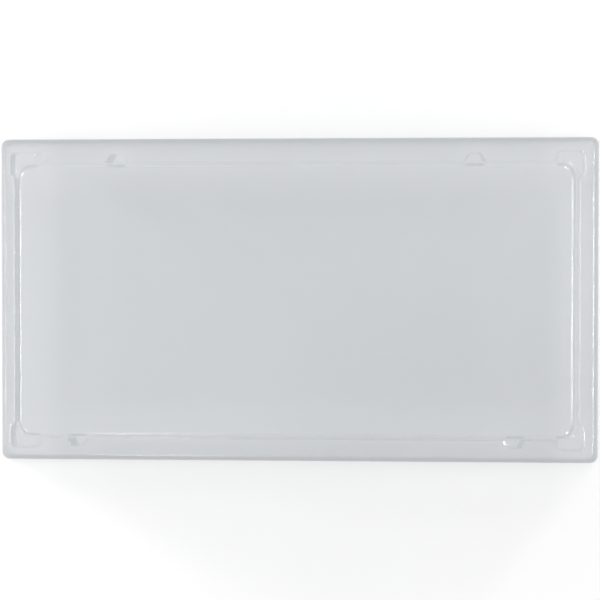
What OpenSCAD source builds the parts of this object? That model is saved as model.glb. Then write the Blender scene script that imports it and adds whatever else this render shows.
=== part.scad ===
// Clear thermoformed lid of a takeout food container, one formed sheet whose rim clips over the tray.
// X runs along the length, Z up from the lip's underside, and the middle of the lid is at X 0, Y 0.

/* [Lid] */

// Length over the lip
lid_l = 235; // [180:1:300]
// Width over the lip
lid_w = 127; // [100:1:180]
// Height of the crown round the panel, from the lip's underside
lid_h = 22; // [16:0.5:40]
// Thickness of the clear sheet
sheet = 0.4; // [0.25:0.05:0.6]

/* [Rim] */

// Width of the flat lip
lip_w = 1.5; // [0.8:0.1:4]
// Corner radius of the lip
lip_r = 3; // [2:0.1:8]
// Height of the rim's ledge
rim_h = 4.6; // [3:0.1:8]
// How far the skirt leans in over its height
skirt_lean = 0.8; // [0.2:0.1:1.5]
// Radius of the edge between skirt and ledge
skirt_round = 0.5; // [0.3:0.1:0.8]
// Corner radius at the skirt's foot
skirt_r = 2.8; // [2.4:0.1:6]
// Width of the ledge on the short sides
ledge_x = 5.5; // [4:0.1:9]
// Width of the ledge on the long sides
ledge_y = 6.5; // [5:0.1:10]

/* [Wall] */

// How far the wall leans in over its height
wall_lean = 1.2; // [0.4:0.1:2]
// Drop from the crown to the shoulder
shoulder_drop = 3.6; // [2.5:0.1:6]
// Radius of the shoulder's outer edge
shoulder_round = 0.9; // [0.5:0.1:1.5]
// Level width of the shoulder on the long sides, its rounded edge included
shoulder_w = 1; // [0.4:0.1:2]

/* [Panel] */

// How far the slope above the shoulder leans in
slope_lean = 1.3; // [0.6:0.1:2.5]
// Plan radius of the crown's outer edge
crown_r = 4.2; // [3.8:0.1:9]
// Radius of the crown's outer edge in section
crown_round = 0.9; // [0.5:0.1:1.4]
// Width of the crown's level top
crown_w = 1; // [0.5:0.1:1.6]
// Depth of the stacking recess in the panel
recess_h = 0.6; // [0.3:0.1:0.9]

/* [Corner lugs] */

// Ledge left outside a corner lug on the short sides
lug_gap_x = 3.4; // [2.5:0.1:5]
// Ledge left outside a corner lug on the long sides
lug_gap_y = 2.7; // [2:0.1:5]
// Length of a corner lug along X
lug_l = 12.5; // [10:0.1:20]
// Width of a corner lug along Y
lug_w = 11.5; // [10:0.1:18]
// Drop from the shoulder to the lugs' tops
lug_drop = 1.2; // [1:0.1:5]
// How far the lugs lean in over their height
lug_lean = 0.9; // [0.3:0.1:1.1]
// Radius of the lugs' top edges
lug_round = 1.2; // [0.5:0.1:1.3]
// Corner radius of a corner lug at its foot
lug_r = 2.5; // [2.4:0.1:4]

/* [Side lugs] */

// Distance from the lip's end to a back lug's middle
back_lug_in = 48.7; // [28:0.1:75]
// Distance from the lip's end to a front lug's middle
front_lug_in = 33.5; // [28:0.1:75]
// Width of a side lug at the wall
side_lug_w = 8.5; // [6:0.1:12]
// Width of a side lug's outer face
side_lug_tip = 4.2; // [2.5:0.1:5.5]
// How far a side lug stands out from the wall's foot
side_lug_out = 3; // [2:0.1:4]

/* [Hidden] */

$fn = 96;

// Profile points lie on this grid, so that neighbouring solids share their edges exactly
grain = 0.001;

half_l = lid_l / 2;
half_w = lid_w / 2;

// Heights of the stages, each measured from the lip's underside
shoulder_h = lid_h - shoulder_drop;
lug_h = shoulder_h - lug_drop;

// Margins of the stages, each measured in from the lip's edge
rim_in = lip_w + skirt_lean + skirt_round;
wall_in_x = rim_in + ledge_x;
wall_in_y = rim_in + ledge_y;
slope_in = wall_in_y + wall_lean + shoulder_w;
crown_in = slope_in + slope_lean;
side_lug_in = wall_in_y - side_lug_out;

// How deep a stage starts inside the one below it, and how far the hollow is cut past its foot
lap = 2;
dip = 1;
foot_z = rim_h - lap;

// Facets of a rounded edge in section
edge_steps = 4;

// Profiles run up from the foot as [margin, height], the margin measured in from the plan outline
skirt_line = [
  [0, 0],
  [skirt_lean, rim_h - skirt_round],
  [skirt_lean + skirt_round, rim_h],
];

wall_line = concat([[0, foot_z]], rounded_edge([wall_lean, shoulder_h], shoulder_round));

crown_line = concat(
  [[0, shoulder_h - lap], [0, shoulder_h]],
  rounded_edge([slope_lean, lid_h], crown_round),
  [
    [slope_lean + crown_round + crown_w, lid_h],
    [slope_lean + crown_round + crown_w + recess_h, lid_h - recess_h],
  ]
);

lug_line = concat([[0, foot_z]], rounded_edge([lug_lean, lug_h], lug_round));

// Plan of a side lug as an open line from the wall out and back, its outer face at margin 0
side_lug_plan = [
  [side_lug_out + wall_lean + lap, -side_lug_w / 2],
  [side_lug_out + wall_lean, -side_lug_w / 2],
  [0, -side_lug_tip / 2],
  [0, side_lug_tip / 2],
  [side_lug_out + wall_lean, side_lug_w / 2],
  [side_lug_out + wall_lean + lap, side_lug_w / 2],
];

// Which piece is shown, or all of them

function on_grid(v) = round(v / grain) * grain;

// A rounded edge from an upright side at margin p[0] to a level top at height p[1]
function rounded_edge(p, r) = [
  for (i = [0 : edge_steps])
    let (a = 90 * i / edge_steps)
      [p[0] + r - r * cos(a), p[1] - r + r * sin(a)]
];

// The normal of the stretch from a to b, pointing into the material
function inward(a, b) =
  let (d = (b - a) / norm(b - a))
    [d[1], -d[0]];

// Point i of an open line moved to the sheet's other face, with mitred corners
function mitred(line, i, first, last) =
  let (
    n1 = i == 0 ? first : inward(line[i - 1], line[i]),
    n2 = i == len(line) - 1 ? last : inward(line[i], line[i + 1])
  )
    line[i] + sheet * (n1 + n2) / (1 + n1 * n2);

// The sheet's inner face along a profile that ends level, carried down below its foot
function inner_face(line) =
  let (
    moved = [
      for (i = [0 : len(line) - 1])
        mitred(line, i, inward(line[0], line[1]), [0, -1])
    ]
  )
    concat([[moved[0][0], line[0][1] - dip]], moved);

function face(line, inner) = [
  for (p = inner ? inner_face(line) : line)
    [on_grid(p[0]), on_grid(p[1])]
];

function plan_face(inner) = inner ? [
  for (i = [0 : len(side_lug_plan) - 1])
    mitred(side_lug_plan, i, [0, 1], [0, -1])
] : side_lug_plan;

// A profile and its mirror image, closed into one section that is 2 * half wide at margin 0
function section(line, half) = concat(
  [for (p = line) [half - p[0], p[1]]],
  [for (i = [len(line) - 1 : -1 : 0]) [line[i][0] - half, line[i][1]]]
);

// A solid on a rounded oblong, l by w with corner radius r at margin 0, its sides after the profile
module plug(l, w, r, line) {
  corner = on_grid(r);
  mid_x = on_grid(l / 2 - r);
  mid_y = on_grid(w / 2 - r);
  low = line[0][1];
  high = line[len(line) - 1][1];
  rotate([90, 0, 0])
    linear_extrude(height = 2 * mid_y, center = true)
      polygon(section(line, mid_x + corner));
  rotate([90, 0, 90])
    linear_extrude(height = 2 * mid_x, center = true)
      polygon(section(line, mid_y + corner));
  for (x = [-1, 1], y = [-1, 1])
    translate([x * mid_x, y * mid_y, 0])
      rotate([0, 0, x > 0 ? (y > 0 ? 0 : 270) : (y > 0 ? 90 : 180)])
        rotate_extrude(angle = 90)
          polygon(concat([[0, low]], [for (p = line) [corner - p[0], p[1]]], [[0, high]]));
}

module lip() {
  linear_extrude(height = sheet) {
    square([lid_l - 2 * lip_r, lid_w], center = true);
    square([lid_l, lid_w - 2 * lip_r], center = true);
    for (x = [-1, 1], y = [-1, 1])
      translate([x * (half_l - lip_r), y * (half_w - lip_r)])
        circle(lip_r);
  }
}

module rim(inner) {
  plug(lid_l - 2 * lip_w, lid_w - 2 * lip_w, skirt_r, face(skirt_line, inner));
}

module wall(inner) {
  wall_r = crown_in + crown_r - wall_in_y;
  plug(lid_l - 2 * wall_in_x, lid_w - 2 * wall_in_y, wall_r, face(wall_line, inner));
}

module panel(inner) {
  slope_r = crown_r + slope_lean;
  plug(lid_l - 2 * slope_in, lid_w - 2 * slope_in, slope_r, face(crown_line, inner));
}

module corner_lugs(inner) {
  lug_x = on_grid(half_l - rim_in - lug_gap_x - lug_l / 2);
  lug_y = on_grid(half_w - rim_in - lug_gap_y - lug_w / 2);
  for (x = [-1, 1], y = [-1, 1])
    translate([x * lug_x, y * lug_y, 0])
      plug(lug_l, lug_w, lug_r, face(lug_line, inner));
}

module side_lug(inner) {
  line = face(lug_line, inner);
  low = line[0][1];
  high = line[len(line) - 1][1];
  back = side_lug_out + wall_lean + 2 * lap;
  intersection() {
    translate([0, 0, low])
      linear_extrude(height = high - low)
        polygon([for (p = plan_face(inner)) [p[1], -p[0]]]);
    rotate([90, 0, 90])
      linear_extrude(height = side_lug_w + lap, center = true)
        polygon(concat([[-back, low]], [for (p = line) [-p[0], p[1]]], [[-back, high]]));
  }
}

module side_lugs(inner) {
  for (x = [-1, 1]) {
    translate([x * (half_l - back_lug_in), half_w - side_lug_in, 0])
      side_lug(inner);
    translate([x * (half_l - front_lug_in), side_lug_in - half_w, 0])
      rotate([0, 0, 180])
        side_lug(inner);
  }
}

// The solid shape of the sheet's outer face, or of the hollow under it
module form(inner) {
  rim(inner);
  wall(inner);
  panel(inner);
  corner_lugs(inner);
  side_lugs(inner);
}

module lid() {
  color([0.9, 0.92, 0.94, 0.4])
    difference() {
      union() {
        lip();
        form(false);
      }
      form(true);
    }
}

lid();
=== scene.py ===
"""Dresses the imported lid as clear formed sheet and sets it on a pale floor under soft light.

Lengths are in metres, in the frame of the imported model: X along the lid, and Z up from the
lip's underside."""

import math

import bmesh
import bpy
from mathutils import Matrix, Vector


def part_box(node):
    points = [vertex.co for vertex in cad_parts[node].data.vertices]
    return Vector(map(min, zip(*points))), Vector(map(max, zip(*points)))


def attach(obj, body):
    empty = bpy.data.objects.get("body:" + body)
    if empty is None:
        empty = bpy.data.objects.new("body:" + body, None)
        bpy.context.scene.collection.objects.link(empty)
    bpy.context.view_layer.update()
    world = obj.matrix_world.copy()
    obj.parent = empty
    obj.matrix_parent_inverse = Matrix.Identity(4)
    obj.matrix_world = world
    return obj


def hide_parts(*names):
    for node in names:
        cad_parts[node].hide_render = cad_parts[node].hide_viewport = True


bl_info = {
    "name": "Takeout lid",
    "version": (1, 0, 0),
    "blender": (4, 5, 0),
    "location": "View3D > Sidebar > Lid",
    "description": "Forms a clear takeout lid over its packed model and sets up its studio",
    "category": "Object",
}

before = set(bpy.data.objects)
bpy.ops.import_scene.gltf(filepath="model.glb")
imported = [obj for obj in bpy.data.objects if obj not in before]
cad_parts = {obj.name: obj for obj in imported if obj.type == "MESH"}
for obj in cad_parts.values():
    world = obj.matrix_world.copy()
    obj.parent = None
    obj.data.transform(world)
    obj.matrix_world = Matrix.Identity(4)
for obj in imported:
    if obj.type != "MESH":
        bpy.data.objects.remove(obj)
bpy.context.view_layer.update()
LID_LOW, LID_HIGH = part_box("lid")
LID_SIZE = LID_HIGH - LID_LOW

# How close two heights are when they count as the same level
LEVEL = 1e-5
# Vertices closer than this are one
WELD = 2e-6
# Neighbouring faces that fold less than this are one face
FLAT_ANGLE = math.radians(0.5)
# Edges that fold inward by more than this are filleted
HOLLOW_ANGLE = math.radians(30)
# Edges that fold more than this are shaded as sharp
SHARP_ANGLE = math.radians(28)
# How much large faces lead small ones in the shading, of 100
FACE_WEIGHT = 90

# Facets of an upright corner, of a rounded edge and of a recess rim
CORNER_STEPS = 8
EDGE_STEPS = 4
RIM_STEPS = 3
# How far a side lug's block reaches back into the wall, past its top's edge
LUG_ROOT = 0.004
# How far below the shoulder the slope starts, inside the wall's block
SLOPE_ROOT = 0.001
# The recess's sloped side is this many times as wide as the reach of its rounded rims
RECESS_RIMS = 2.5

# Faces whose normals rise less than this stand upright
UPRIGHT = 0.25
# How far the walls and lugs are drawn, against the skirt
WALL_DRAWN = 0.3

# The floor ends short of the lamps, and the room beyond it is as pale
FLOOR_HALF = 0.6
# The floor lies this far below the lip, so that the two never share a plane
FLOOR_GAP = 0.0001
SENSOR_MM = 36.0
# Light on its way to the floor and back crosses up to a dozen faces of the clear sheet
CLEAR_BOUNCES = 32


def linear(hex_colour):
    """The linear colour of an sRGB hex value such as "D8DCDF"."""
    parts = [int(hex_colour[i : i + 2], 16) / 255 for i in (0, 2, 4)]
    return tuple(c / 12.92 if c <= 0.04045 else ((c + 0.055) / 1.055) ** 2.4 for c in parts)


def length(name, description, default):
    """A size in metres that a user can change."""
    return bpy.props.FloatProperty(
        name=name, description=description, default=default, min=0.0, unit="LENGTH", precision=5
    )


def colour(name, description, hex_colour):
    """A colour that a user can change, given as sRGB and held as linear."""
    return bpy.props.FloatVectorProperty(
        name=name,
        description=description,
        default=linear(hex_colour),
        size=3,
        min=0.0,
        max=1.0,
        subtype="COLOR",
    )


class LidSizes(bpy.types.PropertyGroup):
    """Sizes of the formed sheet. Margins are measured in from the lip's edge."""

    lid_length: length("Length", "Length over the lip", LID_SIZE.x)
    lid_width: length("Width", "Width over the lip", LID_SIZE.y)
    lid_height: length("Height", "Height of the crown round the panel", LID_SIZE.z)
    sheet: length("Sheet", "Thickness of the formed sheet", 0.0004)

    lip_radius: length("Lip corner", "Corner radius of the lip", 0.003)
    skirt_in: length("Skirt margin", "Margin of the skirt's foot", 0.0015)
    skirt_lean: length("Skirt lean", "How far the skirt leans in over its height", 0.0008)
    skirt_radius: length("Skirt corner", "Corner radius of the skirt", 0.0024)
    skirt_round: length("Skirt edge", "Radius of the edge between skirt and ledge", 0.0003)
    ledge_height: length("Ledge height", "Height of the ledge that seats on a tray", 0.0046)

    wall_in_x: length("End wall margin", "Margin of the wall's foot on the short sides", 0.0083)
    wall_in_y: length("Side wall margin", "Margin of the wall's foot on the long sides", 0.0093)
    wall_lean: length("Wall lean", "How far the wall leans in over its height", 0.0011)
    wall_radius: length("Wall corner", "Corner radius of the wall", 0.007)
    shoulder_height: length("Shoulder height", "Height of the shoulder", 0.0184)
    shoulder_round: length("Shoulder edge", "Radius of the shoulder's edge", 0.0003)

    slope_in: length("Slope margin", "Margin of the slope's foot, above the shoulder", 0.0113)
    slope_lean: length("Slope lean", "How far the slope leans in", 0.0014)
    slope_radius: length("Slope corner", "Corner radius of the slope", 0.0049)
    crown_round: length("Crown edge", "Reach of the crown's rounded outer edge", 0.0006)
    recess_in: length("Recess margin", "Margin of the panel's stacking recess", 0.0147)
    recess_depth: length("Recess depth", "Depth of the stacking recess", 0.0006)
    recess_slope: length("Recess slope", "Width of the recess's sloped side", 0.0012)

    lug_top: length("Lug top", "Height of the lugs' tops", 0.0172)
    lug_lean: length("Lug lean", "How far the lugs lean in over their height", 0.0009)
    lug_round: length("Lug edge", "Radius of the corner lugs' top edges", 0.0008)
    lug_radius: length("Lug corner", "Corner radius of the corner lugs", 0.002)
    lug_in_x: length("Lug end margin", "Margin of a corner lug on the short sides", 0.0062)
    lug_in_y: length("Lug side margin", "Margin of a corner lug on the long sides", 0.0055)
    lug_length: length("Lug length", "Length of a corner lug", 0.0125)
    lug_width: length("Lug width", "Width of a corner lug", 0.0115)

    back_lug_in: length("Back lug place", "From the lip's end to a back lug's middle", 0.0487)
    front_lug_in: length("Front lug place", "From the lip's end to a front lug's middle", 0.0335)
    side_lug_in: length("Side lug margin", "Margin of a side lug's outer face", 0.0063)
    side_lug_width: length("Side lug width", "Width of a side lug at the wall", 0.0085)
    side_lug_tip: length("Side lug tip", "Width of a side lug's outer face", 0.0042)
    side_lug_round: length("Side lug edge", "Radius of a side lug's top and upright edges", 0.0006)

    fillet: length("Fillet", "Radius of the hollow edges, where stages meet", 0.0005)


class SheetLook(bpy.types.PropertyGroup):
    """Finish of the clear sheet."""

    tint: colour("Tint", "What one face of the sheet lets through, seen square on", "F0F1F2")
    edge_tint: colour("Edge tint", "What one face lets through where it is seen edge on", "EEEFF0")
    drawn_tint: colour("Drawn tint", "What one face lets through where it is drawn thin", "FCFCFC")
    gloss: bpy.props.FloatProperty(
        name="Gloss roughness",
        description="Roughness of the sheet's reflections",
        default=0.15,
        min=0.0,
        max=1.0,
    )
    index: bpy.props.FloatProperty(
        name="Index", description="Index of refraction of the sheet", default=1.57, min=1.0, max=2.5
    )
    ripple_pitch: length("Ripple pitch", "Distance between the sheet's slight ripples", 0.03)
    ripple_depth: length("Ripple depth", "Depth of the sheet's slight ripples", 0.00001)


class StudioLook(bpy.types.PropertyGroup):
    """Floor, light and camera."""

    floor: colour("Floor", "Colour of the floor", "FAFAFA")
    world: bpy.props.FloatProperty(
        name="World light",
        description="Strength of the even light from all round",
        default=0.74,
        min=0.0,
        max=5.0,
    )
    lamp_level: bpy.props.FloatProperty(
        name="Lamp level",
        description="Factor on the brightness of all lamps",
        default=1.0,
        min=0.0,
        max=10.0,
    )
    lamp_reach: length("Lamp reach", "Distance of the lamps from the middle of the lid", 0.88)
    camera_place: bpy.props.FloatVectorProperty(
        name="Camera place",
        description="Where the camera stands",
        default=(0.03231, 0.01044, 0.56756),
        size=3,
        subtype="TRANSLATION",
        unit="LENGTH",
        precision=5,
    )
    camera_turn: bpy.props.FloatVectorProperty(
        name="Camera turn",
        description="How the camera is turned from straight down",
        default=(-0.01839, 0.05464, 0.00053),
        size=3,
        subtype="EULER",
        unit="ROTATION",
        precision=5,
    )
    camera_lens: bpy.props.FloatProperty(
        name="Lens",
        description=f"Focal length in millimetres on a {SENSOR_MM:.0f} mm sensor",
        default=86.62,
        min=10.0,
    )


# Formed sheet


def drafted_block(half_x, half_y, low, high, lean, corner, edge=0.0):
    """A block on an oblong plan whose sides lean in, its upright corners and top edge rounded."""
    bm = bmesh.new()
    bmesh.ops.create_cube(bm, size=1.0)
    size = Matrix.Diagonal((2 * half_x, 2 * half_y, high - low, 1.0))
    place = Matrix.Translation((0.0, 0.0, (low + high) / 2))
    bmesh.ops.transform(bm, matrix=place @ size, verts=bm.verts)
    top = [v for v in bm.verts if v.co.z > high - LEVEL]
    bmesh.ops.scale(bm, vec=(1 - lean / half_x, 1 - lean / half_y, 1.0), verts=top)
    upright = [e for e in bm.edges if abs(e.verts[0].co.z - e.verts[1].co.z) > LEVEL]
    round_edges(bm, upright, corner, CORNER_STEPS)
    if edge:
        rim = [e for e in bm.edges if all(v.co.z > high - LEVEL for v in e.verts)]
        round_edges(bm, rim, edge, EDGE_STEPS)
    return bm


def round_edges(bm, edges, radius, segments):
    """Bevels edges to a radius."""
    return bmesh.ops.bevel(
        bm,
        geom=edges,
        offset=radius,
        offset_type="OFFSET",
        segments=segments,
        profile=0.5,
        affect="EDGES",
        clamp_overlap=True,
        material=-1,
    )


def side_lug_block(sizes, foot):
    """A side lug at the middle of a long side, with its slanted flanks, standing out along +Y."""
    wall = sizes.lid_width / 2 - sizes.wall_in_y - sizes.wall_lean
    tip = sizes.lid_width / 2 - sizes.side_lug_in
    deep = wall - LUG_ROOT
    bm = bmesh.new()
    bmesh.ops.create_cube(bm, size=1.0)
    size = Matrix.Diagonal((sizes.side_lug_width, tip - deep, sizes.lug_top - foot, 1.0))
    place = Matrix.Translation((0.0, (tip + deep) / 2, (sizes.lug_top + foot) / 2))
    bmesh.ops.transform(bm, matrix=place @ size, verts=bm.verts)
    # The flanks run parallel behind the wall and slant from the wall to the tip
    bmesh.ops.bisect_plane(
        bm,
        geom=bm.verts[:] + bm.edges[:] + bm.faces[:],
        plane_co=(0.0, wall, 0.0),
        plane_no=(0.0, 1.0, 0.0),
    )
    outer = [v for v in bm.verts if v.co.y > tip - LEVEL]
    bmesh.ops.scale(bm, vec=(sizes.side_lug_tip / sizes.side_lug_width, 1.0, 1.0), verts=outer)
    top = [v for v in outer if v.co.z > sizes.lug_top - LEVEL]
    bmesh.ops.translate(bm, vec=(0.0, -sizes.lug_lean, 0.0), verts=top)
    upright = [
        e
        for e in bm.edges
        if abs(e.verts[0].co.z - e.verts[1].co.z) > LEVEL
        and all(v.co.y > wall + LEVEL for v in e.verts)
    ]
    round_edges(bm, upright, sizes.side_lug_round, EDGE_STEPS)
    rim = [
        e
        for e in bm.edges
        if all(v.co.z > sizes.lug_top - LEVEL for v in e.verts)
        and max(v.co.y for v in e.verts) > wall + LEVEL
    ]
    round_edges(bm, rim, sizes.side_lug_round, EDGE_STEPS)
    return bm


def moved_copy(bm, matrix):
    """A copy of a block, moved or turned."""
    copy = bm.copy()
    bmesh.ops.transform(copy, matrix=matrix, verts=copy.verts)
    return copy


def lid_blocks(sizes):
    """The solid stages that add up to the shape of the sheet's outer face."""
    half_x, half_y = sizes.lid_length / 2, sizes.lid_width / 2
    inside = sizes.ledge_height / 2
    blocks = [
        drafted_block(half_x, half_y, 0.0, sizes.sheet, 0.0, sizes.lip_radius),
        drafted_block(
            half_x - sizes.skirt_in,
            half_y - sizes.skirt_in,
            0.0,
            sizes.ledge_height,
            sizes.skirt_lean,
            sizes.skirt_radius,
            sizes.skirt_round,
        ),
        drafted_block(
            half_x - sizes.wall_in_x,
            half_y - sizes.wall_in_y,
            inside,
            sizes.shoulder_height,
            sizes.wall_lean,
            sizes.wall_radius,
            sizes.shoulder_round,
        ),
        panel_block(sizes),
    ]
    lug = drafted_block(
        sizes.lug_length / 2,
        sizes.lug_width / 2,
        inside,
        sizes.lug_top,
        sizes.lug_lean,
        sizes.lug_radius,
        sizes.lug_round,
    )
    lug_x = half_x - sizes.lug_in_x - sizes.lug_length / 2
    lug_y = half_y - sizes.lug_in_y - sizes.lug_width / 2
    for x in (-1, 1):
        for y in (-1, 1):
            blocks.append(moved_copy(lug, Matrix.Translation((x * lug_x, y * lug_y, 0.0))))
    side_lug = side_lug_block(sizes, inside)
    turned = Matrix.Rotation(math.pi, 4, "Z")
    for x in (-1, 1):
        back = Matrix.Translation((x * (half_x - sizes.back_lug_in), 0.0, 0.0))
        front = Matrix.Translation((x * (half_x - sizes.front_lug_in), 0.0, 0.0))
        blocks.append(moved_copy(side_lug, back))
        blocks.append(moved_copy(side_lug, front @ turned))
    lug.free()
    side_lug.free()
    return blocks


def panel_block(sizes):
    """The raised panel on its slope, with the crown round the shallow stacking recess."""
    spread = sizes.slope_lean * SLOPE_ROOT / (sizes.lid_height - sizes.shoulder_height)
    bm = drafted_block(
        sizes.lid_length / 2 - sizes.slope_in + spread,
        sizes.lid_width / 2 - sizes.slope_in + spread,
        sizes.shoulder_height - SLOPE_ROOT,
        sizes.lid_height,
        sizes.slope_lean + spread,
        sizes.slope_radius,
        sizes.crown_round,
    )
    panel = max(bm.faces, key=lambda f: f.calc_center_median().z)
    crown_in = sizes.slope_in + sizes.slope_lean + sizes.crown_round
    bmesh.ops.inset_region(
        bm, faces=[panel], thickness=sizes.recess_in - crown_in, depth=0.0, use_even_offset=True
    )
    side = bmesh.ops.inset_region(
        bm,
        faces=[panel],
        thickness=sizes.recess_slope,
        depth=-sizes.recess_depth,
        use_even_offset=True,
    )["faces"]
    edges = {e for f in side for e in f.edges}
    rims = [e for e in edges if abs(e.verts[0].co.z - e.verts[1].co.z) < LEVEL]
    round_edges(bm, rims, sizes.recess_slope / RECESS_RIMS, RIM_STEPS)
    return bm


def joined(blocks, name):
    """One closed mesh round several blocks that overlap."""
    folder = bpy.data.collections.new(name + "_stages")
    objects = []
    for i, bm in enumerate(blocks):
        bmesh.ops.recalc_face_normals(bm, faces=bm.faces)
        mesh = bpy.data.meshes.new(f"{name}_stage_{i}")
        bm.to_mesh(mesh)
        bm.free()
        objects.append(bpy.data.objects.new(mesh.name, mesh))
    base = objects[0]
    bpy.context.scene.collection.objects.link(base)
    for other in objects[1:]:
        folder.objects.link(other)
    join = base.modifiers.new("Join", "BOOLEAN")
    join.operation = "UNION"
    join.operand_type = "COLLECTION"
    join.collection = folder
    join.solver = "EXACT"
    bm = bmesh.new()
    whole = finished_mesh(base)
    bm.from_mesh(whole)
    bpy.data.meshes.remove(whole)
    for ob in objects:
        mesh = ob.data
        bpy.data.objects.remove(ob)
        bpy.data.meshes.remove(mesh)
    bpy.data.collections.remove(folder)
    return bm


def finished_mesh(ob):
    """A new mesh of an object with its modifiers carried out."""
    graph = bpy.context.evaluated_depsgraph_get()
    return bpy.data.meshes.new_from_object(ob.evaluated_get(graph), depsgraph=graph)


def outer_face(sizes):
    """The sheet's outer face as an open mesh from lip to panel, its hollow edges filleted."""
    bm = joined(lid_blocks(sizes), "lid")
    bmesh.ops.remove_doubles(bm, verts=bm.verts, dist=WELD)
    bmesh.ops.dissolve_limit(bm, angle_limit=FLAT_ANGLE, verts=bm.verts, edges=bm.edges)
    # The lip's underside and its edge go, and the Solidify modifier makes them again
    under = [
        f
        for f in bm.faces
        if f.calc_center_median().z < sizes.sheet - LEVEL
        and all(v.co.z < sizes.sheet + LEVEL for v in f.verts)
    ]
    bmesh.ops.delete(bm, geom=under, context="FACES")
    hollow = [
        e
        for e in bm.edges
        if len(e.link_faces) == 2
        and e.calc_face_angle_signed() < -HOLLOW_ANGLE
        and min(v.co.z for v in e.verts) < sizes.shoulder_height - LEVEL
    ]
    round_edges(bm, hollow, sizes.fillet, EDGE_STEPS)
    # Upright faces are drawn from the flat sheet, which leaves them thin and clear, the skirt most
    drawn = bm.faces.layers.float.new("drawn")
    bm.normal_update()
    for face in bm.faces:
        if abs(face.normal.z) < UPRIGHT:
            skirt = face.calc_center_median().z < sizes.ledge_height
            face[drawn] = 1.0 if skirt else WALL_DRAWN
    return bm


class LID_OT_form_sheet(bpy.types.Operator):
    """Forms the lid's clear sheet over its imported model"""

    bl_idname = "lid.form_sheet"
    bl_label = "Form the lid"

    def execute(self, context):
        sizes = context.scene.lid_sizes
        bm = outer_face(sizes)
        mesh = bpy.data.meshes.new("lid_sheet")
        bm.to_mesh(mesh)
        bm.free()
        if not mesh.polygons:
            raise RuntimeError("the lid's outer face came out empty")
        lid = bpy.data.objects.new("lid_sheet", mesh)
        context.scene.collection.objects.link(lid)
        wall = lid.modifiers.new("Sheet", "SOLIDIFY")
        wall.thickness = sizes.sheet
        wall.offset = -1.0
        wall.use_even_offset = True
        mesh = finished_mesh(lid)
        lid.modifiers.clear()
        lid.data = mesh
        mesh.name = "lid_sheet"
        mesh.shade_smooth()
        mesh.set_sharp_from_angle(angle=SHARP_ANGLE)
        even = lid.modifiers.new("Flat faces stay flat", "WEIGHTED_NORMAL")
        even.weight = FACE_WEIGHT
        even.keep_sharp = True
        mesh.materials.append(clear_sheet(context.scene.sheet_look))
        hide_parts("lid")
        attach(lid, "root")
        return {"FINISHED"}


# Materials


def add_node(tree, kind, settings=None, links=None):
    """Adds a node, sets its properties and input values, and links its inputs to outputs."""
    node = tree.nodes.new(kind)
    for name, value in (settings or {}).items():
        if isinstance(name, int) or name in node.inputs:
            node.inputs[name].default_value = value
        else:
            setattr(node, name, value)
    for name, output in (links or {}).items():
        tree.links.new(output, node.inputs[name])
    return node


def empty_material(name):
    """A material with its output alone."""
    material = bpy.data.materials.new(name)
    material.use_nodes = True
    material.node_tree.nodes.clear()
    return material, add_node(material.node_tree, "ShaderNodeOutputMaterial")


def clear_sheet(look):
    """Clear PET, vacuum formed from rolled sheet: narrow highlights with slightly soft edges, and
    a faint cool tint that is a little darker where the sheet is seen edge on."""
    material, output = empty_material("clear_pet_sheet")
    tree = material.node_tree
    place = add_node(tree, "ShaderNodeTexCoord")
    # Forming leaves the sheet slightly uneven, which only bends what it mirrors
    ripple = add_node(
        tree,
        "ShaderNodeTexNoise",
        {"Scale": 1.0 / look.ripple_pitch, "Detail": 1.0, "Roughness": 0.4},
        {"Vector": place.outputs["Object"]},
    )
    bump = add_node(
        tree,
        "ShaderNodeBump",
        {"Strength": 1.0, "Distance": look.ripple_depth},
        {"Height": ripple.outputs["Fac"]},
    )
    # Facing runs alike on both faces of the sheet, so light leaves it as easily as it enters
    facing = add_node(tree, "ShaderNodeLayerWeight", {"Blend": 0.5})
    tint = add_node(
        tree,
        "ShaderNodeMix",
        {"data_type": "RGBA", 6: (*look.tint, 1.0), 7: (*look.edge_tint, 1.0)},
        {0: facing.outputs["Facing"]},
    )
    drawn = add_node(tree, "ShaderNodeAttribute", {"attribute_name": "drawn"})
    clearer = add_node(
        tree,
        "ShaderNodeMix",
        {"data_type": "RGBA", 7: (*look.drawn_tint, 1.0)},
        {0: drawn.outputs["Fac"], 6: tint.outputs[2]},
    )
    through = add_node(tree, "ShaderNodeBsdfTransparent", links={"Color": clearer.outputs[2]})
    shine = add_node(
        tree,
        "ShaderNodeBsdfGlossy",
        {"Roughness": look.gloss, "Color": (1.0, 1.0, 1.0, 1.0)},
        {"Normal": bump.outputs["Normal"]},
    )
    # The share of light that is mirrored rises from a few percent to all of it at a grazing angle
    square_on = ((look.index - 1) / (look.index + 1)) ** 2
    graze = add_node(
        tree, "ShaderNodeMath", {"operation": "POWER", 1: 5.0}, {0: facing.outputs["Facing"]}
    )
    share = add_node(
        tree,
        "ShaderNodeMath",
        {"operation": "MULTIPLY_ADD", 1: 1.0 - square_on, 2: square_on},
        {0: graze.outputs[0]},
    )
    mix = add_node(tree, "ShaderNodeMixShader", links={"Fac": share.outputs[0]})
    tree.links.new(through.outputs[0], mix.inputs[1])
    tree.links.new(shine.outputs[0], mix.inputs[2])
    tree.links.new(mix.outputs[0], output.inputs["Surface"])
    return material


def painted_floor(look):
    """Matt white board: an even pale ground with no shine."""
    material, output = empty_material("matt_white_board")
    tree = material.node_tree
    board = add_node(tree, "ShaderNodeBsdfDiffuse", {"Color": (*look.floor, 1.0)})
    tree.links.new(board.outputs[0], output.inputs["Surface"])
    return material


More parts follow.
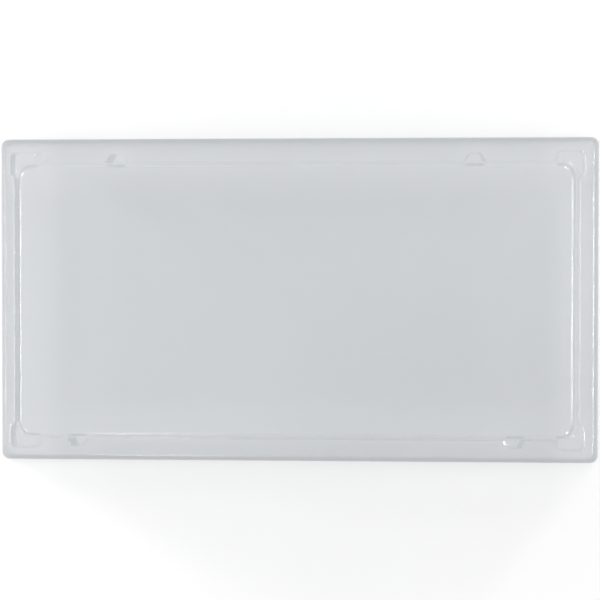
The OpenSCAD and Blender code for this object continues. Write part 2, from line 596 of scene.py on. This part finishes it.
def pale_room(look):
    """Even light from all round. What is seen or mirrored of the room itself is white."""
    world = bpy.data.worlds.new("pale_room")
    world.use_nodes = True
    tree = world.node_tree
    tree.nodes.clear()
    rays = add_node(tree, "ShaderNodeLightPath")
    mirrored = add_node(
        tree,
        "ShaderNodeMath",
        {"operation": "MAXIMUM"},
        {0: rays.outputs["Is Glossy Ray"], 1: rays.outputs["Is Transmission Ray"]},
    )
    seen = add_node(
        tree,
        "ShaderNodeMath",
        {"operation": "MAXIMUM"},
        {0: rays.outputs["Is Camera Ray"], 1: mirrored.outputs[0]},
    )
    strength = add_node(
        tree,
        "ShaderNodeMath",
        {"operation": "MULTIPLY_ADD", 1: 1.0 - look.world, 2: look.world},
        {0: seen.outputs[0]},
    )
    room = add_node(
        tree,
        "ShaderNodeBackground",
        {"Color": (1.0, 1.0, 1.0, 1.0)},
        {"Strength": strength.outputs[0]},
    )
    add_node(tree, "ShaderNodeOutputWorld", links={"Surface": room.outputs[0]})
    return world


# Studio


# Soft boxes low round the lid: name, bearing from +X and height angle in degrees, width and
# height in metres, radiance
SOFT_BOXES = (
    ("left_box", 181.0, 3.2, 0.28, 0.08, 76.0),
    ("right_box", -1.0, 3.2, 0.28, 0.08, 78.0),
    ("back_left_box", 153.0, 7.0, 0.14, 0.14, 104.0),
    ("back_right_box", 51.0, 7.0, 0.14, 0.14, 96.0),
    ("front_left_box", -138.0, 5.0, 0.18, 0.12, 64.0),
    ("front_right_box", -44.0, 6.0, 0.12, 0.12, 50.0),
    ("front_box", -102.0, 5.0, 0.12, 0.1, 26.0),
)


def soft_box(name, bearing, height_angle, width, height, radiance, look):
    """A soft box that stands low beside the lid and faces its middle."""
    turn, rise = math.radians(bearing), math.radians(height_angle)
    way = Vector((math.cos(rise) * math.cos(turn), math.cos(rise) * math.sin(turn), math.sin(rise)))
    data = bpy.data.lights.new(name, "AREA")
    data.shape = "RECTANGLE"
    data.size, data.size_y = width, height
    data.energy = math.pi * width * height * radiance * look.lamp_level
    lamp = bpy.data.objects.new(name, data)
    lamp.location = way * look.lamp_reach
    lamp.rotation_euler = (-way).to_track_quat("-Z", "Y").to_euler()
    bpy.context.scene.collection.objects.link(lamp)


class LID_OT_set_studio(bpy.types.Operator):
    """Sets the floor, the soft light and the camera"""

    bl_idname = "lid.set_studio"
    bl_label = "Set the studio"

    def execute(self, context):
        scene = context.scene
        look = scene.studio_look
        bm = bmesh.new()
        bmesh.ops.create_grid(bm, x_segments=1, y_segments=1, size=FLOOR_HALF)
        bmesh.ops.translate(bm, vec=(0.0, 0.0, LID_LOW.z - FLOOR_GAP), verts=bm.verts)
        mesh = bpy.data.meshes.new("floor")
        bm.to_mesh(mesh)
        bm.free()
        floor = bpy.data.objects.new("floor", mesh)
        scene.collection.objects.link(floor)
        mesh.materials.append(painted_floor(look))

        scene.world = pale_room(look)

        for row in SOFT_BOXES:
            soft_box(*row, look)

        data = bpy.data.cameras.new("camera")
        data.lens = look.camera_lens
        data.sensor_width = SENSOR_MM
        camera = bpy.data.objects.new("camera", data)
        camera.location = look.camera_place
        camera.rotation_euler = look.camera_turn
        scene.collection.objects.link(camera)
        scene.camera = camera
        scene.view_settings.view_transform = "Standard"
        scene.cycles.transparent_max_bounces = CLEAR_BOUNCES
        return {"FINISHED"}


class LID_PT_panel(bpy.types.Panel):
    """Lists the lid's sizes, finish and studio"""

    bl_idname = "LID_PT_panel"
    bl_label = "Takeout lid"
    bl_space_type = "VIEW_3D"
    bl_region_type = "UI"
    bl_category = "Lid"

    def draw(self, context):
        scene = context.scene
        for group, operator in (
            (scene.lid_sizes, LID_OT_form_sheet),
            (scene.sheet_look, None),
            (scene.studio_look, LID_OT_set_studio),
        ):
            box = self.layout.box()
            for name in group.__annotations__:
                box.prop(group, name)
            if operator:
                box.operator(operator.bl_idname)


CLASSES = (LidSizes, SheetLook, StudioLook, LID_OT_form_sheet, LID_OT_set_studio, LID_PT_panel)


def register():
    """Adds the classes and their settings to Blender."""
    for cls in CLASSES:
        bpy.utils.register_class(cls)
    bpy.types.Scene.lid_sizes = bpy.props.PointerProperty(type=LidSizes)
    bpy.types.Scene.sheet_look = bpy.props.PointerProperty(type=SheetLook)
    bpy.types.Scene.studio_look = bpy.props.PointerProperty(type=StudioLook)


def unregister():
    """Takes the settings and classes out again."""
    del bpy.types.Scene.studio_look
    del bpy.types.Scene.sheet_look
    del bpy.types.Scene.lid_sizes
    for cls in reversed(CLASSES):
        bpy.utils.unregister_class(cls)


def main():
    """Makes the whole scene."""
    register()
    bpy.ops.lid.set_studio()
    bpy.ops.lid.form_sheet()


if __name__ == "__main__":
    main()
